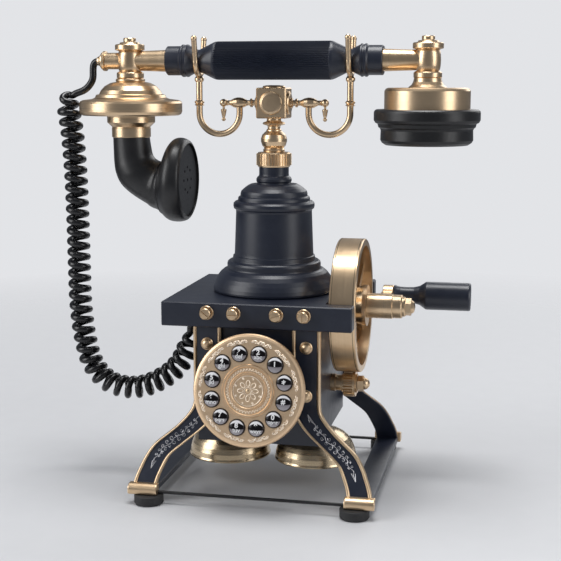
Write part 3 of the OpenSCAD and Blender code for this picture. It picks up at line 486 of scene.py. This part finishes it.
DIAL_TILT = 9.5
DIAL_Y, DIAL_Z = 82.0, 82.6
BUTTON_RING, BUTTON_R = 25.0, 5.4
LENS_EDGE, LENS_RISE, PRINT_LIFT = 0.25, 2.1, 0.12
SCROLL_R, RELIEF_Z = 32.6, 0.02
LEAF_R0, LEAF_R1, LEAVES, LEAF_Z = 13.1, 14.9, 44, -0.16
ROSETTE_Z = -0.06
KEYS = [("3", "def"), ("2", "abc"), ("1", ""), ("star", ""), ("hash", ""), ("0", "oper"),
        ("9", "wxyz"), ("8", "tuv"), ("7", "pqrs"), ("6", "mno"), ("5", "jkl"), ("4", "ghi")]
SIGNS = {"star": "*", "hash": "#"}
dial_frame = (Matrix.Translation((0, -DIAL_Y * MM, DIAL_Z * MM))
              @ Matrix.Rotation(math.radians(90 - DIAL_TILT), 4, "X"))


def dome(r):
    """Height of a button's lens at a distance r from its middle."""
    return LENS_EDGE + LENS_RISE * math.sqrt(max(0.0, 1 - (r / BUTTON_R) ** 2))


def lettering(words, size, middle_y, weight):
    """Vertices and faces of a word in millimetres that lies on a button's lens."""
    data = bpy.data.curves.new("lettering", "FONT")
    data.body, data.size, data.offset = words, size, weight
    data.align_x, data.align_y = "CENTER", "CENTER"
    maker = bpy.data.objects.new("lettering", data)
    bpy.context.scene.collection.objects.link(maker)
    made = maker.evaluated_get(bpy.context.evaluated_depsgraph_get()).to_mesh()
    flat = [(v.co.x, v.co.y + middle_y) for v in made.vertices]
    faces = [tuple(p.vertices) for p in made.polygons]
    bpy.data.objects.remove(maker)
    return [(x, y, dome(math.hypot(x, y)) + PRINT_LIFT) for x, y in flat], faces


def make_buttons():
    """A lens and its raised print on each of the twelve buttons."""
    lens = lens_with_painted_reflections("lens_with_painted_reflections", BUTTON_R * MM)
    steps = [i / 14 * math.pi / 2 for i in range(14)]
    profile = [(BUTTON_R * math.cos(t), LENS_EDGE + LENS_RISE * math.sin(t)) for t in steps]
    for i, (key, letters) in enumerate(KEYS):
        angle = math.radians(15 - 30 * i)
        place = Matrix.Translation((-BUTTON_RING * math.sin(angle) * MM,
                                    BUTTON_RING * math.cos(angle) * MM, 0))
        matrix = dial_frame @ place
        body = "key_" + key
        piece("lens_" + key, lathe([(BUTTON_R, -0.6)] + profile, 48), lens, body,
              matrix, 50)
        size, middle = 4.5, 1.5 if letters else 0.6
        if key == "star":
            size, middle = 6.0, middle - 1.3
        words = [lettering(SIGNS.get(key, key), size, middle, 0.16)]
        if letters:
            words.append(lettering(letters, 4.0 if len(letters) < 4 else 3.5, -1.7, 0.1))
        piece("print_" + key, merged(words), digit_white, body, matrix)


def at_height(flat, z):
    """Points of two coordinates as points of three, all at one height."""
    return np.column_stack([flat, np.full(len(flat), z)])


def polar(r, angle):
    """Points at distances r and those angles about the dial's middle."""
    return np.column_stack([r * np.cos(angle), r * np.sin(angle)])


def dial_wires(name, paths, radius, sides=6):
    """Fine raised wires that lie on the dial plate."""
    piece(name, wires(paths, radius, sides), pale_relief, "base", dial_frame, 60)


def make_dial_ornament():
    """Scrolls outside the buttons, a ring of leaves and a rosette, all as fine raised wires."""
    curls = [(-10.8, 1.0), (-6.6, 1.5), (-2.2, 1.75), (2.4, 1.75), (6.8, 1.5), (10.8, 1.0)]
    scrolls = []
    for i in range(12):
        for k, (offset, size) in enumerate(curls):
            a = math.radians(105 - 30 * i + offset)
            way = 1 if k % 2 else -1
            centre = (SCROLL_R * math.cos(a), SCROLL_R * math.sin(a))
            scrolls.append(at_height(spiral(centre, size, a + way * 1.6, 1.15 * way), RELIEF_Z))
        t = np.radians(np.linspace(94, 116, 14) - 30 * i)
        r = SCROLL_R + 0.9 * np.sin(np.linspace(0, 5 * math.pi, 14))
        scrolls.append(at_height(polar(r, t), RELIEF_Z))
    dial_wires("dial_scrolls", scrolls, 0.31)
    leaves = []
    for i in range(LEAVES):
        a = 2 * math.pi * i / LEAVES
        for lean in (0.07, -0.07):
            r = np.linspace(LEAF_R0, LEAF_R1, 6)
            t = a + lean * np.sin((r - LEAF_R0) / (LEAF_R1 - LEAF_R0) * math.pi / 2)
            leaves.append(at_height(polar(r, t), LEAF_Z))
    dial_wires("dial_leaves", leaves, 0.16, 5)
    petals = []
    t = np.linspace(0, 2 * math.pi, 25)
    for i in range(8):
        a = math.pi * i / 4
        long, wide = 5.0 + 2.0 * np.cos(t), 1.25 * np.sin(t)
        petal = np.column_stack([long * math.cos(a) - wide * math.sin(a),
                                 long * math.sin(a) + wide * math.cos(a)])
        petals.append(at_height(petal, ROSETTE_Z))
        tip = spiral((8.6 * math.cos(a + 0.39), 8.6 * math.sin(a + 0.39)), 0.8, a, 1.2)
        petals.append(at_height(tip, ROSETTE_Z))
    for r in (2.3, 9.9):
        petals.append(at_height(polar(r, np.linspace(0, 2 * math.pi, 61)), ROSETTE_Z))
    dial_wires("dial_rosette", petals, 0.24, 5)
    piece("dial_boss", lathe([(1.5, -0.2), (1.4, 0.25), (1.0, 0.55), (0.4, 0.7)], 32), gold_flat,
          "base", dial_frame)


make_buttons()
make_dial_ornament()


# ---- side frames ----

LEG_X, LEG_Y = 34.0, 57.0
PLATE_Z, KNEE_Z, FOOT_H = 119.5, 69.0, 6.5
FLARE_X, FLARE_Y = 39.8, 22.4
STRIP_HALF, STRIP_T = 9.3, 4.3
TOE_R, TOE_W = 3.6, 20.0
RAIL_W, RAIL_Y, RAIL_H = 16.0, 76.0, 4
FLARE_CURVE = [
    (0, 0), (0.08, 0.015), (0.144, 0.068), (0.208, 0.146), (0.272, 0.239), (0.336, 0.349),
    (0.4, 0.475), (0.464, 0.601), (0.528, 0.71), (0.592, 0.796), (0.656, 0.852), (0.72, 0.894),
    (0.784, 0.937), (0.848, 0.97), (0.912, 0.99), (1, 1),
]
WIDTH_CURVE = [(0, 1), (0.25, 1.04), (0.48, 1.05), (0.6, 0.88), (0.72, 0.86), (1, 0.86)]


def eased(table):
    """Samples of a curve through the table's points, with its corners rounded off."""
    at = np.linspace(-0.1, 1.1, 241)
    values = np.interp(at, *zip(*table))
    kernel = np.hanning(19) / np.hanning(19).sum()
    return at[9:-9], np.convolve(values, kernel, "valid")


flare_samples, width_samples = eased(FLARE_CURVE), eased(WIDTH_CURVE)


def leg_t(z):
    """How far down the flare a height is, from 0 at the knee to 1 at the foot."""
    return np.clip((KNEE_Z - z) / (KNEE_Z - FOOT_H), 0, 1)


def leg_mid(z):
    """Distance of the leg's middle from the phone's middle, along X."""
    return LEG_X + FLARE_X * np.interp(leg_t(z), *flare_samples)


def leg_half(z):
    """Half the leg's width."""
    return STRIP_HALF * np.interp(leg_t(z), *width_samples)


def leg_face(z):
    """Distance of the leg's face from the phone's middle, along Y."""
    return LEG_Y + FLARE_Y * leg_t(z) ** 1.2


def leg_sweep(section, heights):
    """Rings of a section swept down a front leg. Its points are shares of the half width with an
    inset, and depths behind the face."""
    rings = []
    for z in heights:
        mid, half, face = leg_mid(z), leg_half(z), leg_face(z)
        rings.append(np.array([(mid + share * half + inset, -face + depth, z)
                               for share, inset, depth in section]))
    return skin(rings)


def mirrored(part, sx, sy):
    """The part flipped along X and Y where sx and sy are -1."""
    vertices, faces = part
    return [(x * sx, y * sy, z) for x, y, z in vertices], faces


def rounded_box(x0, x1, y0, y1, z0, z1, c):
    """A box along Y whose long edges are rounded by c."""
    corners = []
    for cx, cz, start in ((x1 - c, z1 - c, 0), (x0 + c, z1 - c, 90),
                          (x0 + c, z0 + c, 180), (x1 - c, z0 + c, 270)):
        for k in range(5):
            a = math.radians(start + 22.5 * k)
            corners.append((cx + c * math.cos(a), cz + c * math.sin(a)))
    rings = [np.array([(x, y, z) for x, z in corners]) for y in (y0, y1)]
    return skin(rings)


def make_side_frames():
    """The bent strips with their floor rails, their gold rims and the rolled toes."""
    heights = np.concatenate([[PLATE_Z, 100, 85], np.linspace(KNEE_Z, FOOT_H, 60)])
    c = 0.5
    strip = leg_sweep([(-1, c, 0), (1, -c, 0), (1, 0, c), (1, 0, STRIP_T - c), (1, -c, STRIP_T),
                       (-1, c, STRIP_T), (-1, 0, STRIP_T - c), (-1, 0, c)], heights)
    toe_x = LEG_X + FLARE_X
    rail = rounded_box(toe_x - RAIL_W / 2, toe_x + RAIL_W / 2, -RAIL_Y, RAIL_Y,
                       FOOT_H, FOOT_H + RAIL_H, 0.8)
    bead = [(2.4 * t, 0.95 * math.sin(math.pi * t) ** 0.6) for t in np.linspace(0, 1, 9)]
    rims = [
        leg_sweep([(side, side * (0.3 - w), -h) for w, h in bead]
                  + [(side, -side * 1.9, 0.5), (side, -side * 0.5, 0.5),
                     (side, -side * 0.5, 2.6), (side, side * 0.3, 2.6)],
                  heights)
        for side in (-1, 1)
    ]
    toe_y = -leg_face(FOOT_H)
    toe_profile = [
        (3.2, -3.6), (-2.2, -3.6), (-3.4, -2.9), (-3.7, -1.8), (-3.6, 0.6), (-3.0, 1.9),
        (-1.9, 2.6), (-1.2, 3.3), (0.2, 3.6), (3.2, 3.6),
    ]
    toe = skin([
        np.array([(toe_x + x, toe_y + 0.2 + y * scale, FOOT_H + TOE_R + z * scale)
                  for y, z in toe_profile])
        for x, scale in ((-TOE_W / 2, 0.93), (-TOE_W / 2 + 0.4, 1), (-TOE_W / 2 + 0.8, 1),
                         (TOE_W / 2 - 0.8, 1), (TOE_W / 2 - 0.4, 1), (TOE_W / 2, 0.93))
    ])
    trims = [mirrored(part, sx, sy) for part in rims + [toe] for sx in (1, -1) for sy in (1, -1)]
    piece("leg_trims", merged(trims), gold_flat, "base", None, 40, ["frame_trims"])
    for side, name in ((-1, "side_frame_left"), (1, "side_frame_right")):
        parts = [mirrored(strip, side, 1), mirrored(strip, side, -1), mirrored(rail, side, 1)]
        piece(name + "_strip", merged(parts), navy, "base", None, 30, [name])


def make_leg_scrolls():
    """Silver filigree with a pointed tip at each end, on the flared part of every leg."""
    z_top, z_low = 58.0, 27.0
    flat = []
    heights = np.linspace(z_top - 4, z_low + 4, 10)
    for k, z in enumerate(heights):
        slope = leg_mid(z - 0.5) - leg_mid(z + 0.5)
        side = np.array([1, slope]) / math.hypot(1, slope)
        swell = 1 - 0.45 * abs(k - 4.5) / 4.5
        for way in (1, -1):
            centre = np.array([leg_mid(z), z]) + way * 1.9 * swell * side
            flat.append(spiral(centre, 1.7 * swell, way * 1.2 + 0.5 * k, 1.2 * way, 12))
    spine = np.linspace(z_top, z_low, 40)
    wave = 1.1 * np.sin(np.linspace(0, 9 * math.pi, 40))
    flat.append(np.stack([leg_mid(spine) + wave, spine], axis=1))
    for z, way in ((z_top, 1), (z_low, -1)):
        x, tip = leg_mid(z), leg_mid(z + way * 4.5)
        for w in (-1.3, 0, 1.3):
            heights = np.linspace(z - 0.3 * way * w * w, z + way * 4.5, 5)
            flat.append(np.stack([np.linspace(x + w, tip, 5), heights], axis=1))
    paths = [np.column_stack([p[:, 0], -leg_face(p[:, 1]) - 0.02, p[:, 1]]) for p in flat]
    part = wires(paths, 0.2, 5)
    all_legs = merged(mirrored(part, sx, sy) for sx in (1, -1) for sy in (1, -1))
    piece("leg_scrolls", all_legs, steel, "base", None, 60)


make_side_frames()
make_leg_scrolls()


# ---- handset ----

GRIP_Z, GRIP_R, GRIP_END = 296.5, 13.2, 76.1
HORN_X, SLEEVE_X = 104.1, 106.0
FLUTES, FLUTE_DEPTH = 62, 1.7
HORN_OUTLINE = [
    (-13, 243, 13, 243), (-12.8, 234, 14, 236), (-12.5, 225.5, 15, 231), (-11.3, 217.6, 16.6, 228.3),
    (-7.5, 209.5, 18.7, 226.9), (-0.2, 202.8, 20.6, 226.1), (9.5, 196.8, 22.3, 226),
    (20.6, 190.9, 23.8, 226.1), (23.7, 188.3, 25.3, 228.9), (26.7, 185.6, 27.2, 234.1),
    (29.5, 184, 29.9, 239.4), (32.5, 183.4, 33.2, 242.4), (36.7, 183.4, 37.1, 242.9),
    (40.7, 184.6, 41.1, 241.5), (42.3, 187, 42.5, 239.2),
]
RIDGED, RIDGE = (32, 33, 37, 38), 0.55
MOUTH_Z = 213.2
SEAT_X = 38.6 - HORN_X


def make_grip():
    """The grip with its fluted middle, turned cones and ridges."""
    half = [
        (0, GRIP_R, 1), (39.4, GRIP_R, 1), (40.4, GRIP_R - 0.1, 0.2), (41.2, 13.0, 0), (42.8, 12.4, 0),
        (52.4, 7.8, 0), (53, 7.6, 0), (54, 7.6, 0), (54.6, 7.8, 0), (60.4, 10.6, 0), (61, 11.2, 0),
        (62, 11.2, 0), (62.4, 10.7, 0), (63.4, 10.7, 0), (63.8, 11.2, 0), (65, 11.2, 0), (65.6, 10.6, 0),
        (66.2, 10.1, 0), (GRIP_END - 0.5, 10.1, 0), (GRIP_END, 9.6, 0),
    ]
    stations = [(-x, r, f) for x, r, f in reversed(half[1:])] + half
    sides = FLUTES * 6
    turn = np.arange(sides) * 2 * math.pi / sides
    wave = 0.5 - 0.5 * np.abs(np.cos(turn * FLUTES / 2))
    rings = []
    for x, r, fluted in stations:
        radius = r - FLUTE_DEPTH * fluted * (0.5 - wave)
        rings.append(np.stack([np.full(sides, x), radius * np.cos(turn),
                               GRIP_Z + radius * np.sin(turn)], axis=1))
    piece("grip_fluted", skin(rings), navy, "handset", None, 32, ["handset_grip"])


def horn_rings():
    """Smooth rings from the horn's socket round the bend and over the rim of its mouth."""
    outline = catmull(HORN_OUTLINE, 5)
    sides = 96
    turn = np.arange(sides) * 2 * math.pi / sides

    def ring(middle, across, r):
        return np.stack([middle[0] + r * np.cos(turn) * across[0], r * np.sin(turn),
                         middle[1] + r * np.cos(turn) * across[1]], axis=1)

    rings = [ring((-HORN_X, 251), (1, 0), 10.7), ring((-HORN_X, 243), (1, 0), 10.7)]
    for i, (ax, az, bx, bz) in enumerate(outline):
        low, high = np.array([ax - HORN_X, az]), np.array([bx - HORN_X, bz])
        size = np.linalg.norm(high - low)
        ridge = RIDGE if i in RIDGED else 0
        rings.append(ring((low + high) / 2, (high - low) / size, size / 2 + ridge))
    rings += [ring((SEAT_X + 3.4, MOUTH_Z), (0, 1), 26.6), ring((SEAT_X, MOUTH_Z), (0, 1), 26.3)]
    return rings


def make_sleeves():
    """Barrel-shaped sleeves round the handset's end fittings."""
    barrel = [(7.6, 289.5), (8.1, 290.2), (8.5, 292.5), (8.7, 296.3), (8.5, 300), (8.1, 302.4),
              (7.6, 303.2)]
    for name, x in (("tee_sleeve_left", -HORN_X), ("tee_sleeve_right", SLEEVE_X)):
        vertices, faces = lathe(barrel, 64)
        moved = [(a + x, b, c) for a, b, c in vertices]
        piece(name, (moved, faces), gold_tube, "handset", None, 40)


make_grip()
make_sleeves()
piece("horn_smooth", skin(horn_rings()), phenolic, "handset", None, 40, ["horn"])


# ---- flywheel ----

WHEEL_R, WHEEL_X, WHEEL_W, BAR_Z = 46.8, 47.0, 17.7, 127.2
LINE_HALF, LINE_DEPTH, LINE_PROUD = 0.16, 0.3, 0.03


def make_wheel_groove_shade():
    """A thin dark ring on the rim beside each edge: painted shade standing in for a fine turned groove.
    """
    parts = []
    for x in (WHEEL_X + 1.5, WHEEL_X + WHEEL_W - 1.7):
        inner, outer = WHEEL_R - LINE_DEPTH, WHEEL_R + LINE_PROUD
        vertices, faces = lathe([(inner, x - LINE_HALF), (outer, x - LINE_HALF),
                                 (outer, x + LINE_HALF), (inner, x + LINE_HALF)], 160, "X")
        parts.append(([(a, b, c + BAR_Z) for a, b, c in vertices], faces[:-2]))
    piece("wheel_groove_shade", merged(parts), groove_shade, "crank", None, 30)


make_wheel_groove_shade()


# ---- stage ----

FLOOR_R, FLOOR_Z, FLOOR_SIDES = 3.2, -0.0002, 96
FADE_START, FADE_END = 0.3, 1.0


def make_floor():
    """A pale floor that fades into the backdrop with distance."""
    angles = [2 * math.pi * k / FLOOR_SIDES for k in range(FLOOR_SIDES)]
    ring = [(FLOOR_R * math.cos(a), FLOOR_R * math.sin(a), FLOOR_Z) for a in angles]
    mat, tree, shader = new_material("floor_pale", Roughness=0.55)
    coords = object_coords(tree)
    grain = noise(tree, coords, 60, 4)
    tree.links.new(mix_colour(tree, grain, (0.60, 0.605, 0.62), (0.63, 0.635, 0.65)),
                   shader.inputs["Base Color"])
    away = node(tree, "ShaderNodeVectorMath", {0: coords}, operation="LENGTH").outputs["Value"]
    clear = node(tree, "ShaderNodeBsdfTransparent").outputs[0]
    mixed = node(tree, "ShaderNodeMixShader", {0: remap(tree, away, FADE_START, FADE_END, 0, 1),
                                               1: shader.outputs[0], 2: clear}).outputs[0]
    tree.links.new(mixed, tree.nodes["Material Output"].inputs["Surface"])
    floor = link("floor", ring, [tuple(range(FLOOR_SIDES))], mat)


def add_light(name, place, target, width, height, watts):
    """A white area light, turned to face its target."""
    data = bpy.data.lights.new(name, "AREA")
    data.shape = "RECTANGLE"
    data.size, data.size_y = width, height
    data.energy = watts
    lamp = bpy.data.objects.new(name, data)
    lamp.location = place
    lamp.rotation_euler = (Vector(target) - Vector(place)).to_track_quat("-Z", "Y").to_euler()
    bpy.context.scene.collection.objects.link(lamp)


def make_world():
    """A plain backdrop for the camera, and a dimmer blue-white fill for everything else."""
    world = bpy.data.worlds.new("studio")
    bpy.context.scene.world = world
    world.use_nodes = True
    tree = world.node_tree
    tree.nodes.clear()
    seen = node(tree, "ShaderNodeBackground", {"Color": (0.765, 0.775, 0.80, 1), "Strength": 1.0})
    lit = node(tree, "ShaderNodeBackground", {"Color": (0.80, 0.85, 0.95, 1), "Strength": 0.20})
    path = node(tree, "ShaderNodeLightPath").outputs["Is Camera Ray"]
    mixed = node(tree, "ShaderNodeMixShader", {0: path, 1: lit.outputs[0], 2: seen.outputs[0]})
    out = node(tree, "ShaderNodeOutputWorld")
    tree.links.new(mixed.outputs[0], out.inputs["Surface"])


make_floor()
make_world()
bpy.context.scene.view_settings.view_transform = "Standard"
add_light("key_left", (-1.25, -0.75, 0.75), (0, 0, 0.15), 0.9, 1.3, 14)
add_light("fill_right", (1.35, -0.55, 0.6), (0, 0, 0.15), 0.7, 1.2, 7)
add_light("overhead", (0.0, 0.1, 1.7), (0, 0, 0.1), 0.8, 0.8, 20)
add_light("rim_back", (0.5, 1.5, 0.9), (0, 0, 0.2), 1.2, 0.8, 6)
